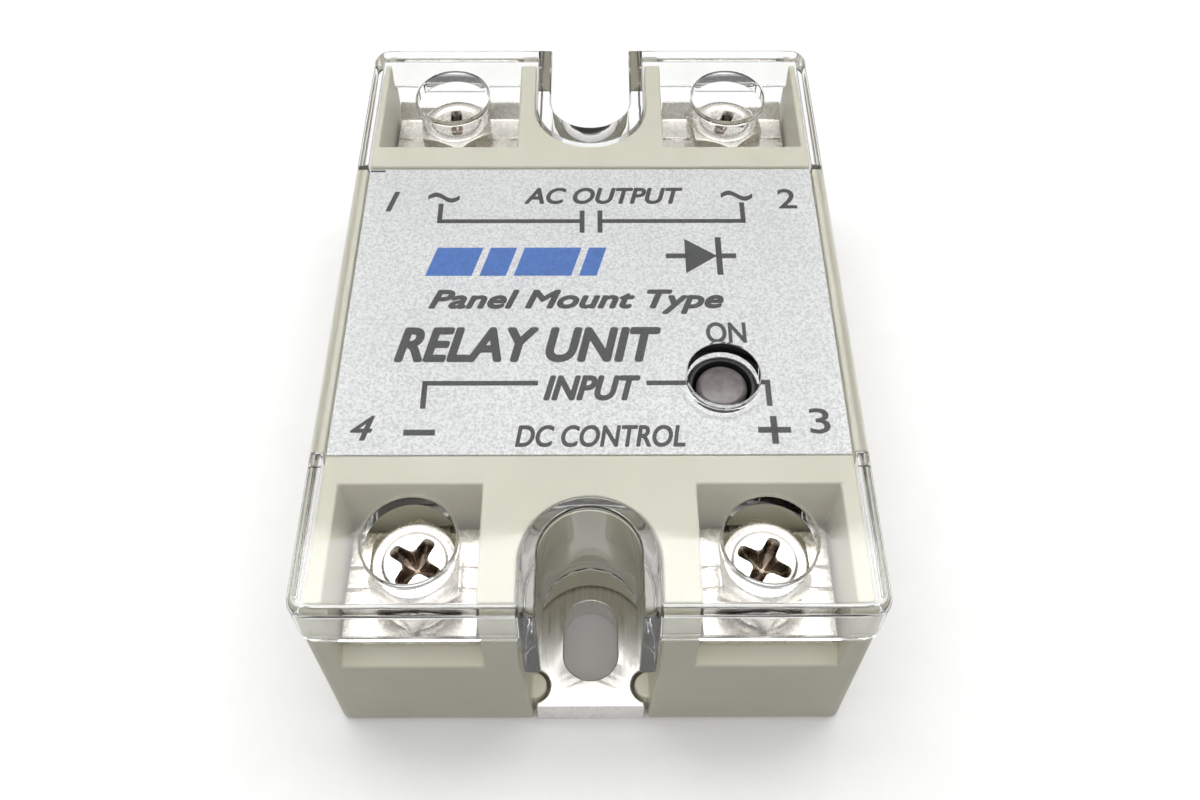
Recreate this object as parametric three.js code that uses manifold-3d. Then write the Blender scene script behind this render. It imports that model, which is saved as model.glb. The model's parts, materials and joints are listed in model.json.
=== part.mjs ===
// A panel-mount solid state relay: a moulded housing on a metal base plate, a clear snap-on cover,
// four screw terminals, and inside it the power stage and the input circuit.
// Millimetres, +Z up. The origin is the centre of the footprint, at the underside of the base plate.
// The input end faces -Y and the output end faces +Y.
import * as THREE from "three";
import { mergeVertices } from "three/addons/utils/BufferGeometryUtils.js";
import Module from "manifold-3d";

const wasm = await Module();
wasm.setup();

// ---- Clearances ----
const GAP = 0.3; // between pieces that rest on or fit into each other
const STACK_GAP = 0.2; // between the thin flat pieces clamped under a screw head, and under the label
const SCREW_GAP = 0.25; // around a screw's shank, all round
const OVERRUN = 1; // how far a cut runs past the face that it opens

// ---- How finely curves are drawn ----
const SIDES = { ring: 40, round: 32, small: 24, bar: 16, lead: 12, wire: 8 }; // of a full circle
const ARC_STEPS = { wide: 16, usual: 12, round: 6, corner: 4 }; // of each arc in an outline

// ---- Housing ----
const HOUSING = {
  halfWidth: 22.06,
  halfLength: 30.86,
  underside: 0.3,
  deckTop: 22.0,
  deckThickness: 1.6,
  wall: 1.6,
  cornerRadius: 0.9,
  floorThickness: 1.6, // of a terminal well's floor
};

// ---- Base plate ----
const PLATE = {
  thickness: 3.0,
  slotWidth: 4.78,
  slotLength: 7.37,
  holeDiameter: 4.6,
  holeY: 22.85, // the round hole at the output end
  holeSpacing: 47.6, // from the round hole to the middle of the slot
  biteRadius: 1.15, // of the moulded lobes that key into the edge of the plate
  biteInset: 1.9, // from the end face to the middle of a lobe
};

// ---- Clear cover ----
const COVER = {
  overhang: 0.34, // outside the housing's faces
  thickness: 1.5,
  flangeDrop: 3.4, // from the deck to the lower edge of the flanges and lips
  endFlange: 1.2,
  sideLip: 0.9,
  cornerRadius: 1.3,
  edgeRound: 0.7,
  skirtRadius: 3.95, // inside of the U-shaped skirt
  skirtWall: 1.35,
  skirtDrop: 9.9, // from the deck
  screwHole: 7.2,
  lampHole: 6.15,
};

// ---- The two ends ----
// Distances along Y are measured inwards from the housing's end face.
const ENDS = [
  {
    turn: 0,
    numbers: { left: 4, right: 3 },
    notchDepth: 4.46, // to the centre of the notch's round end, at the cover
    plateNotchDepth: 5.96, // the same, where the notch reaches the base plate
    wellDepth: 11.16,
    wellInset: 2.9, // from the notch's wall to the well
    wellOuterWall: 2.12,
    screwDepth: 5.76,
    screwBias: 0.5, // from the middle of the well towards the notch
    clampReach: 4.7, // from the screw's axis to the edge of the clamp's turned-up lip
    legInset: 2.4, // from the cavity's wall to the far face of the terminal's leg
  },
  {
    turn: Math.PI,
    numbers: { left: 1, right: 2 },
    notchDepth: 7.46,
    plateNotchDepth: 8.01,
    wellDepth: 13.01,
    wellInset: 1.6,
    wellOuterWall: 1.36,
    screwDepth: 6.92,
    screwBias: 0.15,
    clampReach: 5.7,
    legInset: 2.6,
  },
];
const [INPUT, OUTPUT] = ENDS;
const NOTCH_BOTTOM_RADIUS = 5.0;
const SILL = { height: 12.6, run: 1.4 }; // the ramp that leads a wire up to the floor of a well

// ---- Terminals ----
const TERMINAL = {
  seat: 13.6, // the floor of the well
  plate: 1.0,
  clamp: 0.9,
  washer: 0.8,
  headHeight: 2.6,
  headFlats: 7.0, // across the flats of the hexagon
  headTopDiameter: 6.65, // of the round face that is left inside the chamfer
  headChamfer: 0.5,
  shankDiameter: 3.8,
  shankChamfer: 0.5,
  shankLength: 8.6,
  washerDiameter: 6.6,
  washerSplit: 0.6,
  recessWidth: 1.05,
  recessLength: 4.3,
  recessDepth: 1.5,
  plateMargin: 0.3, // the plate stops this far inside the clamp's lip
  clampInnerReach: 4.4,
  sideClearance: 0.4,
  lipAngle: THREE.MathUtils.degToRad(50), // of the clamp's outer lip, turned up to let a wire in
  lipBend: 0.3, // inside radius of the bend
  clampCorner: 1.0,
  clampBackCorner: 0.5,
  grooveSpacing: 1.9,
  grooveWidth: 0.24,
  grooveDepth: 0.2,
  tongueWidth: 4.0,
  nutWidth: 7.0,
  nutHeight: 2.4,
  nutCorner: 0.8,
  bossWall: 1.4,
  tipClearance: 0.5,
};
const HEAD_EDGE = 0.3; // the share of the head's chamfer that is steep
const HEAD_TURNS = [0.12, 1.22, 1.08, 1.05]; // how far each screw's cross is turned, in radians, 1 to 4

// ---- Label and lamp ----
const LABEL = { thickness: 0.2, recess: 0.6, rim: 0.6, frontMargin: 13.75, backMargin: 15.76, gap: 0.18 };
const LAMP = {
  x: 11.2,
  behindLabelFront: 7.16,
  radius: 2.2,
  flangeRadius: 2.7,
  flangeHeight: 0.9,
  proud: 0.1, // of the deck
  dome: 0.5,
  bezelRadius: 2.85,
  bezelWall: 0.35,
  bezelHeight: 3.85,
  bezelBelowDeck: 0.05,
  spacerHeight: 1.6,
};

// ---- Electronics ----
const BOARD = { underside: 11.6, thickness: 1.6, busZone: 5.2, postRadius: 1.4, postInset: 2.2 };
const SUBSTRATE = { halfWidth: 17.2, length: 19.6, thickness: 1.0 };
const PAD = { inset: 0.6, thickness: 0.4, split: 2.0 };
const CHIP = { width: 8.0, thickness: 0.5, x: 9.2, nearInset: 4.6, spacing: 6.6 };
const STRAP = { width: 3.6, thickness: 0.4, foot: 2.0 };
const GATE_LEAD_RADIUS = 0.4;
const GATE_LEAD_INSET = 1.0;
const POTTING_COVER = 1.1; // of resin above the straps
const LEAD = { radius: 0.35, reach: 1.4 }; // an axial part's wire, and how far it runs past the body
const RESISTOR = { length: 6.4, radius: 1.2 };
const SNUBBER_RESISTOR = { length: 6.4, radius: 1.5 };
const GATE_RESISTOR = { length: 4.2, radius: 1.0 };
const DIODE = { length: 4.2, radius: 0.95 };
const OPTOCOUPLER = {
  halfX: 4.4,
  halfY: 3.2,
  standoff: 0.6,
  height: 3.4,
  pitch: 2.54,
  leg: 0.6,
  shoulder: 1.2,
};
const LEG_SHEET = { out: 0.5, overlap: 0.2, low: 1.2, high: 1.6 }; // the legs' sheet metal
const TRANSISTOR = {
  radius: 2.3,
  flatAngle: THREE.MathUtils.degToRad(36), // from the middle line to each end of the flat
  standoff: 0.9,
  height: 4.4,
  pitch: 1.27,
  leg: 0.5,
  legOverlap: 0.4,
};
const FILM_CAPACITOR = { halfX: 5.0, halfY: 2.2, height: 5.8, corner: 0.5 };
const CAN = { radius: 2.4, height: 4.9, neck: 0.2, neckAt: 1.0, edge: 0.3 }; // the electrolytic capacitor
// Where each part stands: its X, and its distance from the board's front or back edge.
const BOARD_PLACES = {
  input_resistor: { x: 1.5, fromFront: 3.2 },
  input_diode: { x: 1.5, fromFront: 6.6 },
  driver_transistor: { x: -6.6, fromFront: 4.6 },
  input_capacitor: { x: -13.4, fromFront: 6.4 },
  optocoupler: { x: 0, fromBack: 4.6 },
  snubber_capacitor: { x: -11.0, fromBack: 4.2 },
  snubber_resistor: { x: 11.0, fromBack: 2.4 },
  gate_resistor: { x: 11.0, fromBack: 6.4 },
};

// ---- Levels and positions that follow ----
const boardTop = BOARD.underside + BOARD.thickness;
const plateTop = PLATE.thickness;
const cavityFloor = plateTop + GAP;
const labelFloor = HOUSING.deckTop - LABEL.recess;
const deckUnderside = labelFloor - HOUSING.deckThickness;
const coverUnderside = HOUSING.deckTop + GAP;
const coverTop = coverUnderside + COVER.thickness;
const flangeBottom = HOUSING.deckTop - COVER.flangeDrop;
const skirtBottom = HOUSING.deckTop - COVER.skirtDrop;
const coverHalfWidth = HOUSING.halfWidth + COVER.overhang;
const coverHalfLength = HOUSING.halfLength + COVER.overhang;
const skirtOuter = COVER.skirtRadius + COVER.skirtWall;
const notchRadius = skirtOuter + GAP;
const labelFrontY = -(HOUSING.halfLength - LABEL.frontMargin);
const labelBackY = HOUSING.halfLength - LABEL.backMargin;
const lampY = labelFrontY + LAMP.behindLabelFront;
const cavityHalfWidth = HOUSING.halfWidth - HOUSING.wall;
const cavityFrontY = -(HOUSING.halfLength - INPUT.wellDepth - HOUSING.wall);
const cavityBackY = HOUSING.halfLength - OUTPUT.wellDepth - HOUSING.wall;
const boardHalfWidth = cavityHalfWidth - GAP;
const boardFrontY = cavityFrontY + GAP;
const boardBackY = cavityBackY - BOARD.busZone;
const terminalUnderside = TERMINAL.seat + GAP;
const terminalTop = terminalUnderside + TERMINAL.plate;
const clampBottom = terminalTop + GAP;
const clampTop = clampBottom + TERMINAL.clamp;
const washerBottom = clampTop + STACK_GAP;
const washerTop = washerBottom + TERMINAL.washer;
const headBottom = washerTop + STACK_GAP;
const headTop = headBottom + TERMINAL.headHeight;
const shankTip = headBottom - TERMINAL.shankLength;
const shankHole = TERMINAL.shankDiameter / 2 + SCREW_GAP;
const headCornerRadius = TERMINAL.headFlats / 2 / Math.cos(Math.PI / 6);
const nutTop = TERMINAL.seat;
const nutBottom = nutTop - TERMINAL.nutHeight;

// ---- Materials ----
function finish(color, roughness, metalness, extra = {}) {
  return new THREE.MeshStandardMaterial({ color, roughness, metalness, ...extra });
}
const IVORY = finish(0xdedaca, 0.55, 0);
const CLEAR = finish(0xf4f7f7, 0.08, 0, { transparent: true, opacity: 0.3 });
const SILVER_FILM = finish(0xd5d7d8, 0.5, 0.3);
const BLACK_PLASTIC = finish(0x16171a, 0.5, 0);
const SMOKED = finish(0x8a7f7c, 0.3, 0);
const NICKEL = finish(0xc9c5bd, 0.28, 1);
const PLATE_METAL = finish(0xd4d2cd, 0.35, 1);
const BRASS = finish(0xc2a25a, 0.35, 1);
const COPPER = finish(0xb8704a, 0.35, 1);
const CERAMIC = finish(0xeeeae2, 0.6, 0);
const SILICON = finish(0x4a4d55, 0.3, 0.4);
const BOARD_GREEN = finish(0x1f5b3a, 0.5, 0);
const POTTING = finish(0x23242a, 0.45, 0);
const RESISTOR_BODY = finish(0xc9b48a, 0.55, 0);
const CAPACITOR_BODY = finish(0xd9b13a, 0.5, 0);

// ---- Solids ----
const WELD = 1e-4;

// A closed three.js geometry as a solid that can be joined and cut.
function solid(geometry) {
  const bare = new THREE.BufferGeometry();
  bare.setAttribute("position", geometry.getAttribute("position"));
  bare.setIndex(geometry.index);
  const welded = mergeVertices(bare, WELD);
  return new wasm.Manifold(
    new wasm.Mesh({
      numProp: 3,
      vertProperties: welded.getAttribute("position").array,
      triVerts: new Uint32Array(welded.index.array),
    }),
  );
}

// A finished solid as a named mesh with flat faces.
function mesh(name, shape, material) {
  const { numProp, vertProperties, triVerts } = shape.getMesh();
  const geometry = new THREE.BufferGeometry();
  const positions = new Float32Array((vertProperties.length / numProp) * 3);
  for (let vertex = 0; vertex < positions.length / 3; vertex++) {
    const start = vertex * numProp;
    positions.set(vertProperties.subarray(start, start + 3), vertex * 3);
  }
  geometry.setAttribute("position", new THREE.BufferAttribute(positions, 3));
  geometry.setIndex(new THREE.BufferAttribute(new Uint32Array(triVerts), 1));
  const faceted = geometry.toNonIndexed();
  faceted.computeVertexNormals();
  const made = new THREE.Mesh(faceted, material);
  made.name = name;
  return made;
}

function block([x0, x1], [y0, y1], [z0, z1], turn = 0) {
  const geometry = new THREE.BoxGeometry(x1 - x0, y1 - y0, z1 - z0);
  geometry.translate((x0 + x1) / 2, (y0 + y1) / 2, (z0 + z1) / 2);
  return solid(geometry.rotateZ(turn));
}

// A block centred on (x, y).
function pillar(x, y, width, depth, [z0, z1]) {
  return block([x - width / 2, x + width / 2], [y - depth / 2, y + depth / 2], [z0, z1]);
}

function disc(x, y, radius, [z0, z1], sides = SIDES.round) {
  const geometry = new THREE.CylinderGeometry(radius, radius, z1 - z0, sides);
  geometry.rotateX(Math.PI / 2);
  return solid(geometry.translate(x, y, (z0 + z1) / 2));
}

// A round bar whose axis lies along X.
function barAlongX([x0, x1], y, z, radius, sides = SIDES.bar) {
  const geometry = new THREE.CylinderGeometry(radius, radius, x1 - x0, sides);
  geometry.rotateZ(Math.PI / 2);
  return solid(geometry.translate((x0 + x1) / 2, y, z));
}

function prism(shape, [z0, z1], turn = 0, curveSegments = ARC_STEPS.usual) {
  const geometry = new THREE.ExtrudeGeometry(shape, { depth: z1 - z0, bevelEnabled: false, curveSegments });
  return solid(geometry.translate(0, 0, z0).rotateZ(turn));
}

// A section drawn in Y and Z, drawn out along X.
function sectionAlongX(points, [x0, x1]) {
  const shape = new THREE.Shape(points.map(([y, z]) => new THREE.Vector2(y, z)));
  const geometry = new THREE.ExtrudeGeometry(shape, { depth: x1 - x0, bevelEnabled: false });
  const toSection = new THREE.Matrix4().makeBasis(
    new THREE.Vector3(0, 1, 0),
    new THREE.Vector3(0, 0, 1),
    new THREE.Vector3(1, 0, 0),
  );
  return solid(geometry.applyMatrix4(toSection).translate(x0, 0, 0));
}

// A profile of [radius, height] points, from the lower end of the axis to the upper, turned about Z.
function turned(profile, sides = SIDES.round) {
  const points = profile.map(([radius, height]) => new THREE.Vector2(radius, height));
  return solid(new THREE.LatheGeometry(points, sides).rotateX(Math.PI / 2));
}

// radius0 rounds the two corners at y0, and radius1 those at y1.
function roundedRectangle([x0, x1], [y0, y1], radius0, radius1 = radius0) {
  const shape = new THREE.Shape();
  shape.moveTo(x0 + radius0, y0);
  shape.absarc(x1 - radius0, y0 + radius0, radius0, -Math.PI / 2, 0, false);
  shape.absarc(x1 - radius1, y1 - radius1, radius1, 0, Math.PI / 2, false);
  shape.absarc(x0 + radius1, y1 - radius1, radius1, Math.PI / 2, Math.PI, false);
  shape.absarc(x0 + radius0, y0 + radius0, radius0, Math.PI, Math.PI * 1.5, false);
  return shape;
}

function symmetric(half) {
  return [-half, half];
}

// A U that is open towards -Y, with its round end centred at (0, centreY).
function notch(radius, centreY, mouthY) {
  const shape = new THREE.Shape();
  shape.moveTo(-radius, mouthY);
  shape.lineTo(radius, mouthY);
  shape.lineTo(radius, centreY);
  shape.absarc(0, centreY, radius, 0, Math.PI, false);
  return shape;
}

// A slot with round ends along Y.
function slot(width, length, centreY) {
  const radius = width / 2;
  const straight = (length - width) / 2;
  const shape = new THREE.Shape();
  shape.absarc(0, centreY + straight, radius, 0, Math.PI, false);
  shape.absarc(0, centreY - straight, radius, Math.PI, Math.PI * 2, false);
  return shape;
}

// ---- The ends' geometry, drawn for the end that faces -Y ----
function endFace() {
  return -HOUSING.halfLength;
}

function wellOf(end) {
  const near = notchRadius + end.wellInset;
  const far = HOUSING.halfWidth - end.wellOuterWall;
  const screwX = (near + far) / 2 - end.screwBias;
  return { near, far, screwX, innerY: endFace() + end.wellDepth, screwY: endFace() + end.screwDepth };
}

// The lower notch opens out a little towards the cover, as a moulding's draft does.
function lowerNotch(end, radius) {
  const centreY = endFace() + end.plateNotchDepth;
  const height = skirtBottom - GAP;
  const mouthY = endFace() - OVERRUN;
  const shape = notch(radius, centreY, mouthY);
  const geometry = new THREE.ExtrudeGeometry(shape, { depth: height, bevelEnabled: false });
  const position = geometry.getAttribute("position");
  const draft = notchRadius / NOTCH_BOTTOM_RADIUS;
  for (let index = 0; index < position.count; index++) {
    const spread = 1 + ((draft - 1) * position.getZ(index)) / height;
    position.setX(index, position.getX(index) * spread);
    const y = position.getY(index);
    if (y > centreY) position.setY(index, centreY + (y - centreY) * spread);
  }
  return solid(geometry.rotateZ(end.turn));
}

// ---- Housing ----
function plateOutline(grow) {
  const rest = HOUSING.wall + GAP - grow;
  const across = symmetric(HOUSING.halfWidth - rest);
  const along = symmetric(HOUSING.halfLength - rest);
  let outline = prism(roundedRectangle(across, along, HOUSING.cornerRadius), [0, plateTop + grow]);
  const tab = NOTCH_BOTTOM_RADIUS - GAP + grow;
  const tabReach = HOUSING.halfLength + grow;
  outline = outline.add(block([-tab, tab], [-tabReach, tabReach], [0, plateTop + grow]));
  for (const end of ENDS) {
    for (const side of [-1, 1]) {
      outline = outline.subtract(lobe(end, side, GAP - grow, [-OVERRUN, plateTop + grow + OVERRUN]));
    }
  }
  return outline;
}

// One of the round lobes that key the housing to the plate, at the mouth of a notch.
function lobe(end, side, grow, [z0, z1]) {
  const y = endFace() + PLATE.biteInset;
  const facing = end === INPUT ? 1 : -1;
  return disc(side * NOTCH_BOTTOM_RADIUS, facing * y, PLATE.biteRadius + grow, [z0, z1], SIDES.small);
}

function terminalBoss(end, side) {
  const { screwX, screwY } = wellOf(end);
  const half = TERMINAL.nutWidth / 2 + GAP + TERMINAL.bossWall;
  const bottom = shankTip - TERMINAL.tipClearance - TERMINAL.bossWall;
  const x = side * screwX;
  return block([x - half, x + half], [screwY - half, screwY + half], [bottom, TERMINAL.seat], end.turn);
}

function terminalPocket(end, side) {
  const { screwX, screwY } = wellOf(end);
  const half = TERMINAL.nutWidth / 2 + GAP;
  const x = side * screwX;
  const pocket = block(
    [x - half, x + half],
    [screwY - half, screwY + half],
    [nutBottom - GAP, TERMINAL.seat + OVERRUN],
    end.turn,
  );
  const turnedX = end === INPUT ? x : -x;
  const turnedY = end === INPUT ? screwY : -screwY;
  const tipRadius = shankHole + GAP;
  return pocket.add(disc(turnedX, turnedY, tipRadius, [shankTip - TERMINAL.tipClearance, TERMINAL.seat]));
}

function terminalWell(end, side) {
  const { near, far, innerY } = wellOf(end);
  const across = side > 0 ? [near, far] : [-far, -near];
  const top = HOUSING.deckTop + OVERRUN;
  const mouthY = endFace() - OVERRUN;
  const section = [
    [mouthY, SILL.height],
    [endFace(), SILL.height],
    [endFace() + SILL.run, TERMINAL.seat],
    [innerY, TERMINAL.seat],
    [innerY, top],
    [mouthY, top],
  ];
  const inWorld = end === INPUT ? section : section.map(([y, z]) => [-y, z]).reverse();
  const turnedAcross = end === INPUT ? across : [-across[1], -across[0]];
  return sectionAlongX(inWorld, turnedAcross);
}

function underWellCavity(end, side) {
  const near = notchRadius + HOUSING.wall;
  const across = side > 0 ? [near, cavityHalfWidth] : [-cavityHalfWidth, -near];
  const innerY = endFace() + end.wellDepth;
  const outerY = endFace() + HOUSING.wall;
  const ceiling = SILL.height - HOUSING.floorThickness;
  return block(across, [outerY, innerY], [cavityFloor - OVERRUN, ceiling], end.turn);
}

function terminalWallSlot(end, side) {
  const { screwX, innerY } = wellOf(end);
  const half = TERMINAL.tongueWidth / 2 + GAP;
  const x = side * screwX;
  return block(
    [x - half, x + half],
    [innerY - OVERRUN, innerY + HOUSING.wall + OVERRUN],
    [TERMINAL.seat, terminalTop + GAP],
    end.turn,
  );
}

// The step around the top of each end that the cover's flange and lips drop over.
function coverStep(end) {
  const bottom = flangeBottom - GAP;
  const top = HOUSING.deckTop + OVERRUN;
  const outerY = endFace() - OVERRUN;
  const innerY = endFace() - COVER.overhang + COVER.endFlange + GAP;
  const lipInner = coverHalfWidth - COVER.sideLip - STACK_GAP;
  const outerX = HOUSING.halfWidth + OVERRUN;
  const lipEndY = lipEnd(end) + GAP;
  let step = block([-outerX, outerX], [outerY, innerY], [bottom, top], end.turn);
  for (const across of [[-outerX, -lipInner], [lipInner, outerX]]) {
    step = step.add(block(across, [outerY, lipEndY], [bottom, top], end.turn));
  }
  return step;
}

// Where a side lip stops, beside the label's edge.
function lipEnd(end) {
  return endFace() + (end === INPUT ? LABEL.frontMargin : LABEL.backMargin);
}

function housing() {
  const { halfWidth, halfLength, cornerRadius, underside, deckTop } = HOUSING;
  const outline = roundedRectangle(symmetric(halfWidth), symmetric(halfLength), cornerRadius);
  let body = prism(outline, [underside, deckTop]);
  body = body.subtract(
    block(
      [-cavityHalfWidth, cavityHalfWidth],
      [cavityFrontY, cavityBackY],
      [cavityFloor - OVERRUN, deckUnderside],
    ),
  );
  for (const end of ENDS) {
    for (const side of [-1, 1]) {
      body = body.subtract(underWellCavity(end, side));
      body = body.add(terminalBoss(end, side));
      body = body.subtract(terminalWell(end, side)).subtract(terminalPocket(end, side));
      body = body.subtract(terminalWallSlot(end, side));
    }
    const upper = notch(notchRadius, endFace() + end.notchDepth, endFace() - OVERRUN);
    body = body.subtract(prism(upper, [skirtBottom - GAP, deckTop + OVERRUN], end.turn));
    body = body.subtract(lowerNotch(end, NOTCH_BOTTOM_RADIUS)).subtract(coverStep(end));
  }
  body = body.subtract(plateOutline(GAP));
  for (const end of ENDS) {
    for (const side of [-1, 1]) body = body.add(lobe(end, side, 0, [underside, plateTop + GAP]));
  }
  for (const post of boardPosts()) body = body.add(post);
  const recessHalfWidth = halfWidth - LABEL.rim;
  body = body.subtract(
    block([-recessHalfWidth, recessHalfWidth], [labelFrontY, labelBackY], [labelFloor, deckTop + OVERRUN]),
  );
  return body.subtract(
    disc(LAMP.x, lampY, LAMP.bezelRadius + GAP, [deckUnderside - OVERRUN, deckTop + OVERRUN]),
  );
}

// Posts that hang from the deck and hold the circuit board down.
function boardPosts() {
  const x = cavityHalfWidth - BOARD.postInset;
  const posts = [];
  for (const y of [boardFrontY + BOARD.postInset, boardBackY - BOARD.postInset]) {
    for (const side of [-1, 1]) {
      posts.push(disc(side * x, y, BOARD.postRadius, [boardTop + GAP, deckUnderside + GAP], SIDES.bar));
    }
  }
  return posts;
}

// ---- Base plate ----
function basePlate() {
  const through = [-OVERRUN, plateTop + OVERRUN];
  const slotShape = slot(PLATE.slotWidth, PLATE.slotLength, PLATE.holeY - PLATE.holeSpacing);
  return plateOutline(0)
    .subtract(prism(slotShape, through))
    .subtract(disc(0, PLATE.holeY, PLATE.holeDiameter / 2, through));
}

// ---- Clear cover ----
function coverSkirt(end) {
  const centreY = endFace() + end.notchDepth;
  const outer = notch(skirtOuter, centreY, -coverHalfLength);
  return prism(outer, [skirtBottom, coverUnderside + GAP], end.turn);
}

function coverEnd(end) {
  const inner = coverHalfLength - COVER.endFlange;
  const tall = [flangeBottom, coverUnderside + GAP];
  const flange = block([-coverHalfWidth, coverHalfWidth], [-coverHalfLength, -inner], tall, end.turn);
  let rim = flange;
  const lipInner = coverHalfWidth - COVER.sideLip;
  for (const across of [[-coverHalfWidth, -lipInner], [lipInner, coverHalfWidth]]) {
    rim = rim.add(block(across, [-coverHalfLength, lipEnd(end)], tall, end.turn));
  }
  return rim;
}

// The cover's outer form, with a rounded upper edge.
function coverEnvelope() {
  const { cornerRadius, edgeRound } = COVER;
  const shape = roundedRectangle(
    symmetric(coverHalfWidth - edgeRound),
    symmetric(coverHalfLength - edgeRound),
    cornerRadius - edgeRound / 2,
  );
  const geometry = new THREE.ExtrudeGeometry(shape, {
    depth: coverTop - 2 * edgeRound,
    bevelThickness: edgeRound,
    bevelSize: edgeRound,
    bevelSegments: ARC_STEPS.corner,
    curveSegments: ARC_STEPS.round,
  });
  return solid(geometry.translate(0, 0, edgeRound));
}

function clearCover() {
  let cover = block(
    [-coverHalfWidth, coverHalfWidth],
    [-coverHalfLength, coverHalfLength],
    [coverUnderside, coverTop],
  );
  for (const end of ENDS) cover = cover.add(coverEnd(end)).add(coverSkirt(end));
  cover = cover.intersect(coverEnvelope());
  const through = [skirtBottom - OVERRUN, coverTop + OVERRUN];
  for (const end of ENDS) {
    const inner = notch(COVER.skirtRadius, endFace() + end.notchDepth, -coverHalfLength - OVERRUN);
    cover = cover.subtract(prism(inner, through, end.turn, ARC_STEPS.wide));
    const { screwX, screwY } = wellOf(end);
    const y = end === INPUT ? screwY : -screwY;
    for (const side of [-1, 1]) {
      cover = cover.subtract(disc(side * screwX, y, COVER.screwHole / 2, through, SIDES.ring));
    }
  }
  return cover.subtract(disc(LAMP.x, lampY, COVER.lampHole / 2, through));
}

// ---- Label and lamp ----
function faceLabel() {
  const halfWidth = HOUSING.halfWidth - LABEL.rim - LABEL.gap;
  const bottom = labelFloor + STACK_GAP;
  const across = [-halfWidth, halfWidth];
  const along = [labelFrontY + LABEL.gap, labelBackY - LABEL.gap];
  const sheet = block(across, along, [bottom, bottom + LABEL.thickness]);
  return sheet.subtract(disc(LAMP.x, lampY, LAMP.bezelRadius + STACK_GAP, [bottom - OVERRUN, HOUSING.deckTop]));
}

function lampBezel() {
  const top = HOUSING.deckTop - LAMP.bezelBelowDeck;
  const heights = [top - LAMP.bezelHeight, top];
  const bore = disc(LAMP.x, lampY, LAMP.bezelRadius - LAMP.bezelWall, [0, coverTop], SIDES.ring);
  return disc(LAMP.x, lampY, LAMP.bezelRadius, heights, SIDES.ring).subtract(bore);
}

function lamp() {
  const bottom = boardTop + GAP + LAMP.spacerHeight + GAP;
  const top = HOUSING.deckTop + LAMP.proud;
  return turned([
    [0, bottom],
    [LAMP.flangeRadius, bottom],
    [LAMP.flangeRadius, bottom + LAMP.flangeHeight],
    [LAMP.radius, bottom + LAMP.flangeHeight],
    [LAMP.radius, top - LAMP.dome],
    [LAMP.radius - LAMP.dome, top],
    [0, top],
  ]);
}

function lampSpacer() {
  const bottom = boardTop + GAP;
  return disc(0, 0, LAMP.flangeRadius, [bottom, bottom + LAMP.spacerHeight], SIDES.small);
}

// ---- Terminals, each drawn about its screw's axis with its mouth towards -Y ----
// reach: how far the well's walls are from the axis, as [towards -X, towards +X].
function terminalSpread(reach) {
  return [-reach[0] + TERMINAL.sideClearance, reach[1] - TERMINAL.sideClearance];
}

function terminalPlate(end, reach) {
  const { innerY, screwY } = wellOf(end);
  const wallY = innerY - screwY;
  const inside = wallY + HOUSING.wall;
  const levels = [terminalUnderside, terminalTop];
  const outerY = -(end.clampReach - TERMINAL.plateMargin);
  const pad = block(terminalSpread(reach), [outerY, wallY - GAP], levels);
  const half = TERMINAL.tongueWidth / 2;
  const footBottom = end === INPUT ? boardTop + GAP : padTop() + GAP;
  const footOuter = inside + end.legInset;
  const tongue = sectionAlongX(
    [
      [0, terminalUnderside],
      [footOuter - TERMINAL.plate, terminalUnderside],
      [footOuter - TERMINAL.plate, footBottom],
      [footOuter, footBottom],
      [footOuter, terminalTop],
      [0, terminalTop],
    ],
    [-half, half],
  );
  return pad.add(tongue).subtract(disc(0, 0, shankHole, [0, headTop]));
}

function terminalNut() {
  const side = symmetric(TERMINAL.nutWidth / 2);
  const shape = roundedRectangle(side, side, TERMINAL.nutCorner);
  const nut = prism(shape, [nutBottom, nutTop], 0, ARC_STEPS.corner);
  return nut.subtract(disc(0, 0, shankHole, [0, headTop]));
}

// How far from the axis the clamp's lip starts to rise: clear of the washer and of the head's corners.
function lipStart() {
  const underHead = (headBottom - clampTop) / Math.tan(TERMINAL.lipAngle);
  return Math.max(TERMINAL.washerDiameter / 2, headCornerRadius - underHead) + GAP;
}

// The clamp's section: flat under the screw, bent up in an arc to its outer lip.
function clampSection(end) {
  const { clamp, lipAngle, lipBend, clampInnerReach } = TERMINAL;
  const bend = lipStart();
  const lipRun = end.clampReach - (clamp + lipBend) * Math.sin(lipAngle) - bend;
  const lipRise = lipRun * Math.tan(lipAngle);
  const steps = ARC_STEPS.corner;
  const upper = [];
  const lower = [];
  for (let step = 0; step <= steps; step++) {
    const angle = (lipAngle * step) / steps;
    upper.push([-bend - lipBend * Math.sin(angle), clampTop + lipBend * (1 - Math.cos(angle))]);
    const outer = lipBend + clamp;
    lower.push([-bend - outer * Math.sin(angle), clampTop + lipBend - outer * Math.cos(angle)]);
  }
  for (const side of [upper, lower]) {
    const [y, z] = side[steps];
    side.push([y - lipRun, z + lipRise]);
  }
  return [...lower.reverse(), [clampInnerReach, clampBottom], [clampInnerReach, clampTop], ...upper];
}

function terminalClamp(end, reach) {
  const { grooveSpacing, grooveWidth, grooveDepth, clampInnerReach, clampCorner, clampBackCorner } = TERMINAL;
  const spread = terminalSpread(reach);
  const plan = roundedRectangle(spread, [-end.clampReach, clampInnerReach], clampCorner, clampBackCorner);
  const whole = [clampBottom - OVERRUN, headTop];
  let made = sectionAlongX(clampSection(end), spread).intersect(prism(plan, whole, 0, ARC_STEPS.corner));
  for (const y of symmetric(grooveSpacing / 2)) {
    const along = [y - grooveWidth / 2, y + grooveWidth / 2];
    made = made.subtract(block([-reach[0], reach[1]], along, [clampTop - grooveDepth, clampTop + OVERRUN]));
  }
  return made.subtract(disc(0, 0, shankHole, [0, headTop]));
}

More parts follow.
